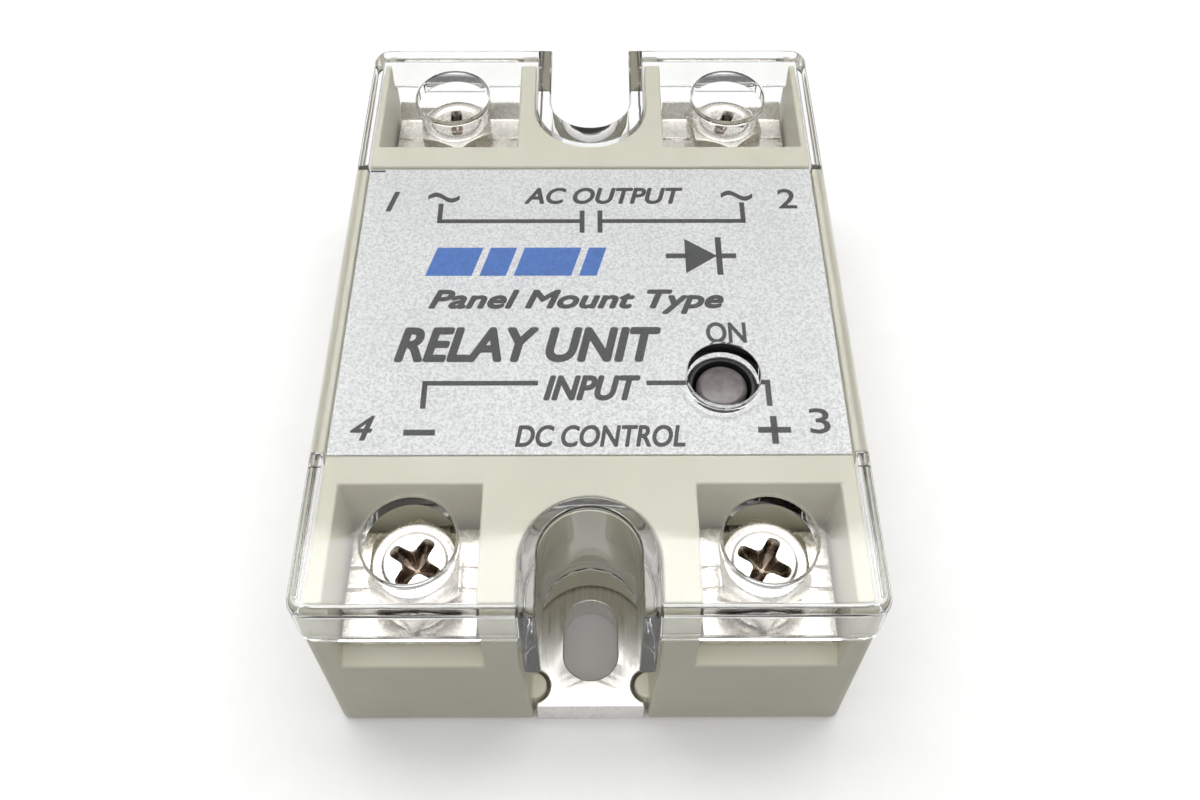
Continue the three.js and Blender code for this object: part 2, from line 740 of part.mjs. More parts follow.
function lockWasher() {
  const ring = disc(0, 0, TERMINAL.washerDiameter / 2, [washerBottom, washerTop]);
  const half = TERMINAL.washerSplit / 2;
  const split = block([-half, half], [-TERMINAL.washerDiameter, 0], [washerBottom - OVERRUN, headTop]);
  return ring.subtract(disc(0, 0, shankHole, [0, headTop])).subtract(split);
}

// A hexagon head with a chamfered top, cut with a cross.
function terminalScrew() {
  const { headTopDiameter, headChamfer, shankDiameter, shankChamfer } = TERMINAL;
  const { recessWidth, recessLength, recessDepth } = TERMINAL;
  const topRadius = headTopDiameter / 2;
  const edgeWidth = (headCornerRadius - topRadius) * HEAD_EDGE;
  const chamferCone = turned([
    [0, headBottom],
    [headCornerRadius, headBottom],
    [headCornerRadius, headTop - headChamfer],
    [topRadius + edgeWidth, headTop - headChamfer * HEAD_EDGE],
    [topRadius, headTop],
    [0, headTop],
  ]);
  const hexagon = 6;
  const head = disc(0, 0, headCornerRadius, [headBottom, headTop], hexagon).intersect(chamferCone);
  const shank = turned([
    [0, shankTip],
    [shankDiameter / 2 - shankChamfer, shankTip],
    [shankDiameter / 2, shankTip + shankChamfer],
    [shankDiameter / 2, headBottom + OVERRUN],
    [0, headBottom + OVERRUN],
  ]);
  const depth = [headTop - recessDepth, headTop + OVERRUN];
  return head
    .add(shank)
    .subtract(pillar(0, 0, recessWidth, recessLength, depth))
    .subtract(pillar(0, 0, recessLength, recessWidth, depth));
}

function terminal(end, side) {
  const { near, far, screwX, screwY } = wellOf(end);
  const number = side < 0 === (end === INPUT) ? end.numbers.left : end.numbers.right;
  const outerReach = far - screwX;
  const innerReach = screwX - near;
  const reach = side < 0 ? [outerReach, innerReach] : [innerReach, outerReach];
  const screw = mesh(`terminal_screw_${number}`, terminalScrew(), NICKEL);
  screw.rotation.z = HEAD_TURNS[number - 1];
  const held = new THREE.Group();
  held.position.set(side * screwX, screwY, 0);
  held.add(
    screw,
    mesh(`terminal_plate_${number}`, terminalPlate(end, reach), NICKEL),
    mesh(`terminal_nut_${number}`, terminalNut(), BRASS),
    mesh(`terminal_clamp_${number}`, terminalClamp(end, reach), NICKEL),
    mesh(`lock_washer_${number}`, lockWasher(), NICKEL),
  );
  return held;
}

// ---- Power stage ----
function substrateSpan() {
  const back = cavityBackY - GAP;
  return [back - SUBSTRATE.length, back];
}

function padBottom() {
  return cavityFloor + SUBSTRATE.thickness + GAP;
}

function padTop() {
  return padBottom() + PAD.thickness;
}

function chipSpan() {
  const bottom = padTop() + GAP;
  return [bottom, bottom + CHIP.thickness];
}

function chipY(index) {
  return substrateSpan()[0] + PAD.inset + CHIP.nearInset + index * CHIP.spacing;
}

function substrate() {
  const across = [-SUBSTRATE.halfWidth, SUBSTRATE.halfWidth];
  return block(across, substrateSpan(), [cavityFloor, cavityFloor + SUBSTRATE.thickness]);
}

function copperPad(side) {
  const [front, back] = substrateSpan();
  const outer = SUBSTRATE.halfWidth - PAD.inset;
  const inner = PAD.split / 2;
  const across = side < 0 ? [-outer, -inner] : [inner, outer];
  return block(across, [front + PAD.inset, back - PAD.inset], [padBottom(), padTop()]);
}

// A strap runs from the top of its own chip, across the split, down to the other pad.
function chipStrap(side, y) {
  const bottom = chipSpan()[1] + GAP;
  const top = bottom + STRAP.thickness;
  const start = side * (CHIP.x + CHIP.width / 4);
  const landing = -side * (PAD.split / 2 + GAP + STRAP.foot);
  const half = STRAP.width / 2;
  const along = [y - half, y + half];
  const span = block([Math.min(start, landing), Math.max(start, landing)], along, [bottom, top]);
  const footEdge = landing + side * STRAP.foot;
  const foot = block([Math.min(landing, footEdge), Math.max(landing, footEdge)], along, [padTop() + GAP, top]);
  return span.add(foot);
}

function gateLeadPlace(side, y) {
  const offset = CHIP.width / 2 - GATE_LEAD_INSET;
  return [side * (CHIP.x + offset), y + offset];
}

function gateLead(side, y, grow, [z0, z1]) {
  const [x, leadY] = gateLeadPlace(side, y);
  return disc(x, leadY, GATE_LEAD_RADIUS + grow, [z0, z1], SIDES.lead);
}

function powerStage() {
  const stage = new THREE.Group();
  stage.add(mesh("ceramic_substrate", substrate(), CERAMIC));
  [-1, 1].forEach((side, index) => {
    const y = chipY(index);
    const number = index + 1;
    const [chipBottom, chipTop] = chipSpan();
    const chip = pillar(side * CHIP.x, y, CHIP.width, CHIP.width, [chipBottom, chipTop]);
    const lead = gateLead(side, y, 0, [chipTop + GAP, BOARD.underside - GAP]);
    stage.add(
      mesh(`copper_pad_${number}`, copperPad(side), COPPER),
      mesh(`thyristor_chip_${number}`, chip, SILICON),
      mesh(`thyristor_strap_${number}`, chipStrap(side, y), COPPER),
      mesh(`gate_lead_${number}`, lead, NICKEL),
    );
  });
  return stage;
}

// The resin that fills the lower part of the housing, open around the power stage.
function pottingBlock() {
  const walls = [-cavityHalfWidth + GAP, cavityHalfWidth - GAP];
  const recessTop = chipSpan()[1] + GAP + STRAP.thickness + GAP;
  const top = recessTop + POTTING_COVER;
  let resin = block(walls, [cavityFrontY + GAP, cavityBackY - GAP], [cavityFloor, top]);
  const [front, back] = substrateSpan();
  const side = SUBSTRATE.halfWidth + GAP;
  resin = resin.subtract(
    block([-side, side], [front - GAP, back + OVERRUN], [cavityFloor - OVERRUN, recessTop]),
  );
  const through = [cavityFloor, top + OVERRUN];
  const { screwX } = wellOf(OUTPUT);
  const opening = TERMINAL.tongueWidth / 2 + GAP;
  const legInner = cavityBackY - OUTPUT.legInset - GAP;
  [-1, 1].forEach((hand, index) => {
    const x = hand * screwX;
    resin = resin
      .subtract(block([x - opening, x + opening], [legInner, cavityBackY], through))
      .subtract(gateLead(hand, chipY(index), GAP, through));
  });
  return resin;
}

// ---- Circuit board and its parts ----
function circuitBoard() {
  return block([-boardHalfWidth, boardHalfWidth], [boardFrontY, boardBackY], [BOARD.underside, boardTop]);
}

// An axial part lying along X: a round body with a lead bent down to the board at each end.
function axialPart({ length, radius }) {
  const leadReach = length / 2 + LEAD.reach;
  const lift = boardTop + GAP + radius;
  let made = barAlongX(symmetric(length / 2), 0, lift, radius);
  made = made.add(barAlongX(symmetric(leadReach), 0, lift, LEAD.radius, SIDES.wire));
  for (const x of symmetric(leadReach)) {
    made = made.add(disc(x, 0, LEAD.radius, [boardTop + GAP, lift + LEAD.radius], SIDES.wire));
  }
  return made;
}

function optocoupler() {
  const { halfX, halfY, standoff, height, pitch, leg, shoulder } = OPTOCOUPLER;
  const bottom = boardTop + GAP + standoff;
  const shoulderLevels = [bottom + LEG_SHEET.low, bottom + LEG_SHEET.high];
  const shoulderAlong = symmetric(halfY + LEG_SHEET.overlap);
  let made = block(symmetric(halfX), symmetric(halfY), [bottom, bottom + height]);
  for (const x of [-pitch, 0, pitch]) {
    made = made.add(block([x - shoulder / 2, x + shoulder / 2], shoulderAlong, shoulderLevels));
    for (const y of symmetric(halfY + LEG_SHEET.out / 2)) {
      made = made.add(pillar(x, y, leg, LEG_SHEET.out, [boardTop + GAP, shoulderLevels[1]]));
    }
  }
  return made;
}

// A round body with a flat, on three legs.
function driverTransistor() {
  const { radius, flatAngle, standoff, height, pitch, leg, legOverlap } = TRANSISTOR;
  const bottom = boardTop + GAP + standoff;
  const shape = new THREE.Shape();
  shape.absarc(0, 0, radius, -flatAngle, Math.PI + flatAngle, false);
  let made = prism(shape, [bottom, bottom + height]);
  for (const x of [-pitch, 0, pitch]) {
    made = made.add(pillar(x, 0, leg, leg, [boardTop + GAP, bottom + legOverlap]));
  }
  return made;
}

function filmCapacitor() {
  const { halfX, halfY, height, corner } = FILM_CAPACITOR;
  const bottom = boardTop + GAP;
  const outline = roundedRectangle(symmetric(halfX), symmetric(halfY), corner);
  return prism(outline, [bottom, bottom + height], 0, ARC_STEPS.corner);
}

function electrolyticCapacitor() {
  const { radius, height, neck, neckAt, edge } = CAN;
  const bottom = boardTop + GAP;
  const profile = [
    [0, bottom],
    [radius, bottom],
    [radius, bottom + neckAt - edge],
    [radius - neck, bottom + neckAt],
    [radius, bottom + neckAt + edge],
    [radius, bottom + height - edge],
    [radius - edge, bottom + height],
    [0, bottom + height],
  ];
  return turned(profile, SIDES.small);
}

function boardParts() {
  const parts = {
    input_resistor: [axialPart(RESISTOR), RESISTOR_BODY],
    input_diode: [axialPart(DIODE), BLACK_PLASTIC],
    driver_transistor: [driverTransistor(), BLACK_PLASTIC],
    input_capacitor: [electrolyticCapacitor(), POTTING],
    optocoupler: [optocoupler(), BLACK_PLASTIC],
    snubber_capacitor: [filmCapacitor(), CAPACITOR_BODY],
    snubber_resistor: [axialPart(SNUBBER_RESISTOR), RESISTOR_BODY],
    gate_resistor: [axialPart(GATE_RESISTOR), RESISTOR_BODY],
  };
  const group = new THREE.Group();
  for (const [name, [shape, material]] of Object.entries(parts)) {
    const { x, fromFront, fromBack } = BOARD_PLACES[name];
    const part = mesh(name, shape, material);
    part.position.set(x, fromFront ? boardFrontY + fromFront : boardBackY - fromBack, 0);
    group.add(part);
  }
  const lampStack = new THREE.Group();
  lampStack.position.set(LAMP.x, lampY, 0);
  lampStack.add(mesh("led_lamp", lamp(), SMOKED), mesh("led_spacer", lampSpacer(), BLACK_PLASTIC));
  group.add(lampStack, mesh("circuit_board", circuitBoard(), BOARD_GREEN));
  return group;
}

// ---- Assembly ----
const relay = new THREE.Group();
relay.add(
  mesh("housing", housing(), IVORY),
  mesh("base_plate", basePlate(), PLATE_METAL),
  mesh("clear_cover", clearCover(), CLEAR),
  mesh("face_label", faceLabel(), SILVER_FILM),
  mesh("led_bezel", lampBezel(), BLACK_PLASTIC),
  mesh("potting_block", pottingBlock(), POTTING),
  powerStage(),
  boardParts(),
);
for (const end of ENDS) {
  const group = new THREE.Group();
  group.rotation.z = end.turn;
  for (const side of [-1, 1]) group.add(terminal(end, side));
  relay.add(group);
}

export default relay;
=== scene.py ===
"""The looks of a panel-mount solid state relay: housing, clear cover, label, terminals and base plate.

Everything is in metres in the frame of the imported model: X right, Y towards the output end, Z up.
"""

import json
import math

import bmesh
import bpy
from mathutils import Matrix, Vector


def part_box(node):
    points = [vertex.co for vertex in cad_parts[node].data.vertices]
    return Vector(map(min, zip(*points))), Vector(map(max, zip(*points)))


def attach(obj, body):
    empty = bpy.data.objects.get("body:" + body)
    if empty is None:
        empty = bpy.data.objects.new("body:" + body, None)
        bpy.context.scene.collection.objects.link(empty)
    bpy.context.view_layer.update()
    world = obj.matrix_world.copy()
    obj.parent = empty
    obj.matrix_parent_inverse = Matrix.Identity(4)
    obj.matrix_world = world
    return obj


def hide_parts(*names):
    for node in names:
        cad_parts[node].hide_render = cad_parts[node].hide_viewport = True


MM = 0.001
TAU = math.tau

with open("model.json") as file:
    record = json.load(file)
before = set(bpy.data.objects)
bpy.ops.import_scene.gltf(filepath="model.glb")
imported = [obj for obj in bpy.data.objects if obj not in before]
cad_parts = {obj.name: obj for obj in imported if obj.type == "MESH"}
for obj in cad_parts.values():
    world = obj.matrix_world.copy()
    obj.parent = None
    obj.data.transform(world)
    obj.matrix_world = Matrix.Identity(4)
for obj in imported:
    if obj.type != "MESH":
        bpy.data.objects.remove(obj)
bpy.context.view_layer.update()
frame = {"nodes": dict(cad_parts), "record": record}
scene = bpy.context.scene
nodes = frame["nodes"]
bodies = frame["record"]["behaviour"]["bodies"]
body_of_node = {node: body for body, members in bodies.items() for node in members}
slot_of_node = {row["node"]: row["material_slot"] for row in frame["record"]["subparts"]}


# ---- Camera and light ----
CAMERA_PLACE = Vector((0.445, -65.517, 105.012)) * MM
CAMERA_PITCH = math.radians(53.03)  # below the horizontal
CAMERA_YAW = math.radians(0.40)
CAMERA_ROLL = math.radians(0.22)
CAMERA_SENSOR = 36  # in millimetres, as is the lens
CAMERA_LENS = 35.33
CAMERA_SHIFT = -0.0667  # a share of the frame's width
CAMERA_NEAREST = 5 * MM  # nothing nearer than this is drawn


def make_camera():
    """A camera that looks along +Y and down, turned by its yaw and rolled about its own axis."""
    level = Vector((math.sin(CAMERA_YAW), math.cos(CAMERA_YAW), 0))
    right = Vector((math.cos(CAMERA_YAW), -math.sin(CAMERA_YAW), 0))
    forward = level * math.cos(CAMERA_PITCH) - Vector((0, 0, 1)) * math.sin(CAMERA_PITCH)
    up = right.cross(forward)
    rolled_right = right * math.cos(CAMERA_ROLL) + up * math.sin(CAMERA_ROLL)
    rolled_up = up * math.cos(CAMERA_ROLL) - right * math.sin(CAMERA_ROLL)
    turn = Matrix((rolled_right, rolled_up, -forward)).transposed().to_4x4()
    data = bpy.data.cameras.new("camera")
    data.sensor_width = CAMERA_SENSOR
    data.lens = CAMERA_LENS
    data.shift_y = CAMERA_SHIFT
    data.clip_start = CAMERA_NEAREST
    camera = bpy.data.objects.new("camera", data)
    camera.matrix_world = Matrix.Translation(CAMERA_PLACE) @ turn
    scene.collection.objects.link(camera)
    scene.camera = camera


# Each lamp: place, size and power, in metres and watts.
LAMPS = {
    "key": ((0.0, 0.10, 0.45), (0.5, 0.16), 0.95),
    "left_fill": ((-0.5, 0.0, 0.34), (0.4, 0.4), 0.2),
    "right_fill": ((0.5, 0.0, 0.34), (0.4, 0.4), 0.12),
}
LAMPS_AIM = Vector((0, 0, 0.01))


def soft_light(name, place, size, power):
    """A white rectangular lamp that faces the relay."""
    data = bpy.data.lights.new(name, "AREA")
    data.shape = "RECTANGLE"
    data.size, data.size_y = size
    data.energy = power
    light = bpy.data.objects.new(name, data)
    light.location = place
    light.rotation_euler = (LAMPS_AIM - Vector(place)).to_track_quat("-Z", "Y").to_euler()
    scene.collection.objects.link(light)


def make_lights():
    for name, (place, size, power) in LAMPS.items():
        soft_light(name, place, size, power)


# The sky's strength, and the heights on its unit sphere between which it changes.
SKY_LOW, SKY_HIGH = 0.20, 1.3
SKY_FROM, SKY_TO = 0.48, 0.90


def make_world():
    """A studio that is bright overhead and dimmer all round."""
    world = bpy.data.worlds.new("studio")
    world.use_nodes = True
    tree = world.node_tree
    tree.nodes.clear()
    place = tree.nodes.new("ShaderNodeTexCoord")
    split = tree.nodes.new("ShaderNodeSeparateXYZ")
    tree.links.new(place.outputs["Generated"], split.inputs[0])
    ramp = tree.nodes.new("ShaderNodeMapRange")
    ramp.interpolation_type = "SMOOTHSTEP"
    ramp.inputs["From Min"].default_value = SKY_FROM
    ramp.inputs["From Max"].default_value = SKY_TO
    ramp.inputs["To Min"].default_value = SKY_LOW
    ramp.inputs["To Max"].default_value = SKY_HIGH
    tree.links.new(split.outputs["Z"], ramp.inputs["Value"])
    sky = tree.nodes.new("ShaderNodeBackground")
    sky.inputs["Color"].default_value = (1, 1, 1, 1)
    tree.links.new(ramp.outputs["Result"], sky.inputs["Strength"])
    output = tree.nodes.new("ShaderNodeOutputWorld")
    tree.links.new(sky.outputs[0], output.inputs[0])
    scene.world = world


# ---- Material building blocks ----
MIX_FIRST, MIX_SECOND, MIX_RESULT = 6, 7, 2  # where a Mix node keeps its colours


class Surface:
    """A Principled material and the few node patterns that the relay's finishes are made of."""

    def __init__(self, name, color, roughness, metallic=0.0):
        self.material = bpy.data.materials.new(name)
        self.material.use_nodes = True
        self.tree = self.material.node_tree
        self.shader = self.tree.nodes["Principled BSDF"]
        self.shader.inputs["Base Color"].default_value = (*color, 1)
        self.shader.inputs["Roughness"].default_value = roughness
        self.shader.inputs["Metallic"].default_value = metallic
        self.place = self.tree.nodes.new("ShaderNodeTexCoord").outputs["Object"]

    def link(self, start, end):
        self.tree.links.new(start, end)

    def stretched(self, scale):
        """The object's coordinates times scale; a pattern grows long where scale is small."""
        mapping = self.tree.nodes.new("ShaderNodeMapping")
        mapping.inputs["Scale"].default_value = scale
        self.link(self.place, mapping.inputs["Vector"])
        return mapping.outputs["Vector"]

    def noise(self, size, detail=3.0, roughness=0.55, stretch=None, distortion=0.0):
        """Noise whose blobs are about size across."""
        texture = self.tree.nodes.new("ShaderNodeTexNoise")
        texture.inputs["Scale"].default_value = 1 / size
        texture.inputs["Detail"].default_value = detail
        texture.inputs["Roughness"].default_value = roughness
        texture.inputs["Distortion"].default_value = distortion
        source = self.place if stretch is None else self.stretched(stretch)
        self.link(source, texture.inputs["Vector"])
        return texture.outputs["Fac"]

    def remap(self, value, low, high, new_low=0.0, new_high=1.0):
        """The value with low to high stretched to new_low to new_high, and held there beyond."""
        node = self.tree.nodes.new("ShaderNodeMapRange")
        node.inputs["From Min"].default_value = low
        node.inputs["From Max"].default_value = high
        node.inputs["To Min"].default_value = new_low
        node.inputs["To Max"].default_value = new_high
        self.link(value, node.inputs["Value"])
        return node.outputs["Result"]

    def blend_color(self, factor, first, second):
        """Two colours blended by factor; either may be a colour or an output."""
        node = self.tree.nodes.new("ShaderNodeMix")
        node.data_type = "RGBA"
        self.link(factor, node.inputs["Factor"])
        for socket, value in ((node.inputs[MIX_FIRST], first), (node.inputs[MIX_SECOND], second)):
            if isinstance(value, tuple):
                socket.default_value = (*value, 1)
            else:
                self.link(value, socket)
        return node.outputs[MIX_RESULT]

    def set_color(self, output):
        self.link(output, self.shader.inputs["Base Color"])

    def set_roughness(self, output):
        self.link(output, self.shader.inputs["Roughness"])

    def bump(self, height, strength, distance):
        """Relief from a height pattern, on top of any relief that the surface has."""
        node = self.tree.nodes.new("ShaderNodeBump")
        node.inputs["Strength"].default_value = strength
        node.inputs["Distance"].default_value = distance
        self.link(height, node.inputs["Height"])
        previous = self.shader.inputs["Normal"]
        if previous.is_linked:
            self.link(previous.links[0].from_socket, node.inputs["Normal"])
        self.link(node.outputs["Normal"], previous)


# ---- Materials ----
def ivory_plastic():
    surface = Surface("ivory_plastic", (0.82, 0.80, 0.655), 0.5)
    tone = surface.remap(surface.noise(9 * MM, 2), 0.35, 0.65)
    surface.set_color(surface.blend_color(tone, (0.80, 0.775, 0.63), (0.84, 0.82, 0.68)))
    surface.set_roughness(surface.remap(surface.noise(1.2 * MM), 0.3, 0.7, 0.42, 0.58))
    surface.bump(surface.noise(0.22 * MM, 2), 0.12, 0.03 * MM)
    surface.shader.inputs["Subsurface Weight"].default_value = 0.06
    surface.shader.inputs["Subsurface Radius"].default_value = (1.0, 0.8, 0.5)
    surface.shader.inputs["Subsurface Scale"].default_value = 0.6 * MM
    return surface.material


def clear_plastic():
    surface = Surface("clear_plastic", (0.985, 0.99, 0.985), 0.03)
    surface.shader.inputs["Transmission Weight"].default_value = 1.0
    surface.shader.inputs["IOR"].default_value = 1.49
    surface.set_roughness(surface.remap(surface.noise(3 * MM), 0.35, 0.7, 0.015, 0.06))
    surface.bump(surface.noise(2.4 * MM, 2), 0.05, 0.05 * MM)
    return surface.material


def label_film():
    """Silver film under a fine, worm-like grain."""
    surface = Surface("label_film", (0.90, 0.905, 0.915), 0.45, 0.2)
    grain = surface.remap(surface.noise(0.26 * MM, 1.0, 0.5, distortion=0.8), 0.38, 0.58)
    cloud = surface.remap(surface.noise(7 * MM, 2), 0.3, 0.7)
    pale = surface.blend_color(cloud, (0.94, 0.945, 0.95), (0.90, 0.905, 0.915))
    surface.set_color(surface.blend_color(grain, (0.70, 0.705, 0.715), pale))
    surface.set_roughness(surface.remap(grain, 0, 1, 0.55, 0.38))
    surface.bump(grain, 0.35, 0.02 * MM)
    return surface.material


def ink(name, color):
    surface = Surface(name, color, 0.6)
    surface.shader.inputs["Specular IOR Level"].default_value = 0.2
    worn = surface.remap(surface.noise(0.35 * MM, 2), 0.35, 0.7)
    lighter = tuple(channel * 1.3 + 0.006 for channel in color)
    surface.set_color(surface.blend_color(worn, color, lighter))
    surface.bump(worn, 0.15, 0.01 * MM)
    return surface.material


def black_plastic():
    surface = Surface("black_plastic", (0.022, 0.022, 0.024), 0.42)
    tone = surface.remap(surface.noise(1.5 * MM), 0.3, 0.7)
    surface.set_color(surface.blend_color(tone, (0.018, 0.018, 0.02), (0.032, 0.032, 0.034)))
    surface.bump(surface.noise(0.2 * MM, 2), 0.1, 0.02 * MM)
    return surface.material


def lamp_lens():
    surface = Surface("lamp_lens", (0.13, 0.115, 0.11), 0.3)
    tone = surface.remap(surface.noise(0.9 * MM, 3), 0.35, 0.7)
    surface.set_color(surface.blend_color(tone, (0.10, 0.088, 0.084), (0.17, 0.152, 0.148)))
    surface.bump(surface.noise(0.5 * MM, 2), 0.12, 0.03 * MM)
    surface.shader.inputs["Coat Weight"].default_value = 0.25
    surface.shader.inputs["Coat Roughness"].default_value = 0.08
    return surface.material


def nickel(name):
    """Clouded bright nickel, with the output that its colour comes from."""
    surface = Surface(name, (0.80, 0.765, 0.71), 0.24, 1.0)
    cloud = surface.remap(surface.noise(1.6 * MM, 3), 0.35, 0.68)
    color = surface.blend_color(cloud, (0.70, 0.66, 0.60), (0.88, 0.85, 0.80))
    surface.set_color(color)
    surface.set_roughness(surface.remap(surface.noise(0.45 * MM, 3), 0.3, 0.7, 0.16, 0.36))
    surface.bump(surface.noise(0.28 * MM, 3), 0.16, 0.03 * MM)
    return surface, color


# Painted shade: the colour of each screw's cross recess darkens with depth near the axis, standing in for the
# shade inside the recess.
RECESS_PAINTED_SHADE = (0.22, 0.175, 0.14)
RECESS_REACH = 2.3 * MM  # from the screw's axis; farther out nothing is darkened
RECESS_FADE = 0.1 * MM
RECESS_SHADE_FROM, RECESS_SHADE_TO = -0.30 * MM, -0.75 * MM  # from the face of the head


def screw_metal(number, centre, face):
    """Nickel with painted shade that darkens down the walls of the cross recess."""
    surface, color = nickel(f"screw_nickel_{number}")
    split = surface.tree.nodes.new("ShaderNodeSeparateXYZ")
    shifted = surface.tree.nodes.new("ShaderNodeMapping")
    shifted.inputs["Location"].default_value = (-centre.x, -centre.y, -face)
    surface.link(surface.place, shifted.inputs["Vector"])
    surface.link(shifted.outputs["Vector"], split.inputs[0])
    level = surface.tree.nodes.new("ShaderNodeCombineXYZ")
    surface.link(split.outputs["X"], level.inputs["X"])
    surface.link(split.outputs["Y"], level.inputs["Y"])
    reach = surface.tree.nodes.new("ShaderNodeVectorMath")
    reach.operation = "LENGTH"
    surface.link(level.outputs["Vector"], reach.inputs[0])
    inside = surface.remap(reach.outputs["Value"], RECESS_REACH, RECESS_REACH + RECESS_FADE, 1.0, 0.0)
    painted_shade_depth = surface.remap(split.outputs["Z"], RECESS_SHADE_FROM, RECESS_SHADE_TO)
    both = surface.tree.nodes.new("ShaderNodeMath")
    both.operation = "MULTIPLY"
    surface.link(inside, both.inputs[0])
    surface.link(painted_shade_depth, both.inputs[1])
    # Blend in the painted shade of the recess where both masks are full.
    surface.set_color(surface.blend_color(both.outputs[0], color, RECESS_PAINTED_SHADE))
    return surface.material


def plate_metal():
    surface = Surface("plate_metal", (0.84, 0.825, 0.80), 0.3, 1.0)
    brushed = surface.noise(0.25 * MM, 3, stretch=(1.0, 0.07, 1.0))
    tone = surface.remap(brushed, 0.32, 0.68)
    surface.set_color(surface.blend_color(tone, (0.74, 0.72, 0.69), (0.90, 0.885, 0.86)))
    surface.set_roughness(surface.remap(tone, 0, 1, 0.26, 0.42))
    surface.bump(brushed, 0.22, 0.03 * MM)
    return surface.material


def plain_metal(name, dark, light, roughness):
    surface = Surface(name, light, roughness, 1.0)
    tone = surface.remap(surface.noise(1.4 * MM, 3), 0.35, 0.68)
    surface.set_color(surface.blend_color(tone, dark, light))
    surface.bump(surface.noise(0.3 * MM, 2), 0.12, 0.02 * MM)
    return surface.material


PLAIN_GRAIN = 0.5 * MM


def plain_solid(name, dark, light, roughness):
    surface = Surface(name, light, roughness)
    tone = surface.remap(surface.noise(PLAIN_GRAIN, 3), 0.35, 0.68)
    surface.set_color(surface.blend_color(tone, dark, light))
    surface.bump(surface.noise(PLAIN_GRAIN / 2, 2), 0.15, 0.03 * MM)
    return surface.material


def floor_paper():
    surface = Surface("floor_paper", (0.93, 0.93, 0.925), 0.8)
    tone = surface.remap(surface.noise(4 * MM, 3), 0.35, 0.68)
    surface.set_color(surface.blend_color(tone, (0.925, 0.922, 0.915), (0.94, 0.94, 0.938)))
    surface.bump(surface.noise(0.8 * MM, 2), 0.05, 0.05 * MM)
    return surface.material


MATERIALS = {
    "housing_plastic": ivory_plastic(),
    "clear_plastic": clear_plastic(),
    "label_film": label_film(),
    "black_plastic": black_plastic(),
    "lamp_lens": lamp_lens(),
    "terminal_nickel": nickel("terminal_nickel")[0].material,
    "plate_metal": plate_metal(),
    "nut_brass": plain_metal("nut_brass", (0.55, 0.41, 0.17), (0.72, 0.56, 0.26), 0.35),
    "copper": plain_metal("copper", (0.55, 0.25, 0.14), (0.78, 0.40, 0.25), 0.32),
    "ceramic": plain_solid("ceramic", (0.78, 0.76, 0.71), (0.86, 0.84, 0.80), 0.6),
    "silicon": plain_solid("silicon", (0.06, 0.065, 0.08), (0.10, 0.105, 0.12), 0.25),
    "board_laminate": plain_solid("board_laminate", (0.012, 0.10, 0.045), (0.02, 0.15, 0.07), 0.45),
    "potting_resin": plain_solid("potting_resin", (0.015, 0.016, 0.02), (0.03, 0.03, 0.036), 0.4),
    "resistor_coat": plain_solid("resistor_coat", (0.55, 0.43, 0.25), (0.66, 0.54, 0.34), 0.55),
    "capacitor_case": plain_solid("capacitor_case", (0.62, 0.40, 0.04), (0.74, 0.50, 0.06), 0.5),
}
INK_BLACK = ink("ink_black", (0.016, 0.017, 0.019))
INK_BLUE = ink("ink_blue", (0.02, 0.14, 0.52))


# ---- Mesh building blocks ----
SHARP = math.radians(32)  # edges that turn more than this stay sharp
EDGE_STEPS = 3  # facets across a rounded edge
ROUND_PROFILE = 0.5
MOST_CORNERS = 4  # a face with more is split before its edges are rounded
SAME_POINT = 0.002 * MM
SAME_PLANE = math.radians(0.5)


def finish_mesh(mesh, material):
    for polygon in mesh.polygons:
        polygon.use_smooth = True
    mesh.set_sharp_from_angle(angle=SHARP)
    mesh.materials.clear()
    mesh.materials.append(material)


def add_piece(name, mesh, body, replaced=None):
    """An object that rides on its body and, if replaced is given, stands for that CAD node."""
    piece = bpy.data.objects.new(name, mesh)
    scene.collection.objects.link(piece)
    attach(piece, body)
    if replaced:
        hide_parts(replaced)
    return piece


def rounded_copy(node, radius):
    """The solid of a CAD node with its sharp edges rounded off, which stands for the node."""
    form = bmesh.new()
    form.from_mesh(nodes[node].data)
    bmesh.ops.remove_doubles(form, verts=form.verts, dist=SAME_POINT)
    bmesh.ops.dissolve_limit(form, angle_limit=SAME_PLANE, verts=form.verts, edges=form.edges)
    wide = [face for face in form.faces if len(face.verts) > MOST_CORNERS]
    bmesh.ops.triangulate(form, faces=wide, ngon_method="BEAUTY")
    edges = [edge for edge in form.edges if edge.is_manifold and edge.calc_face_angle() > SHARP]
    bmesh.ops.bevel(
        form,
        geom=edges,
        offset=radius,
        segments=EDGE_STEPS,
        profile=ROUND_PROFILE,
        affect="EDGES",
        clamp_overlap=False,
        loop_slide=False,
    )
    bmesh.ops.recalc_face_normals(form, faces=form.faces)
    mesh = bpy.data.meshes.new(node + "_fine")
    form.to_mesh(mesh)
    form.free()
    slot = slot_of_node[node]
    finish_mesh(mesh, MATERIALS[slot])
    piece = add_piece(node + "_fine", mesh, body_of_node[node], node)
    normals = piece.modifiers.new("even_faces", "WEIGHTED_NORMAL")
    normals.keep_sharp = True
    normals.weight = 100


def axis_of(node):
    """The point on the floor under the middle of a node."""
    low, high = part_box(node)
    return Vector(((low.x + high.x) / 2, (low.y + high.y) / 2, 0))


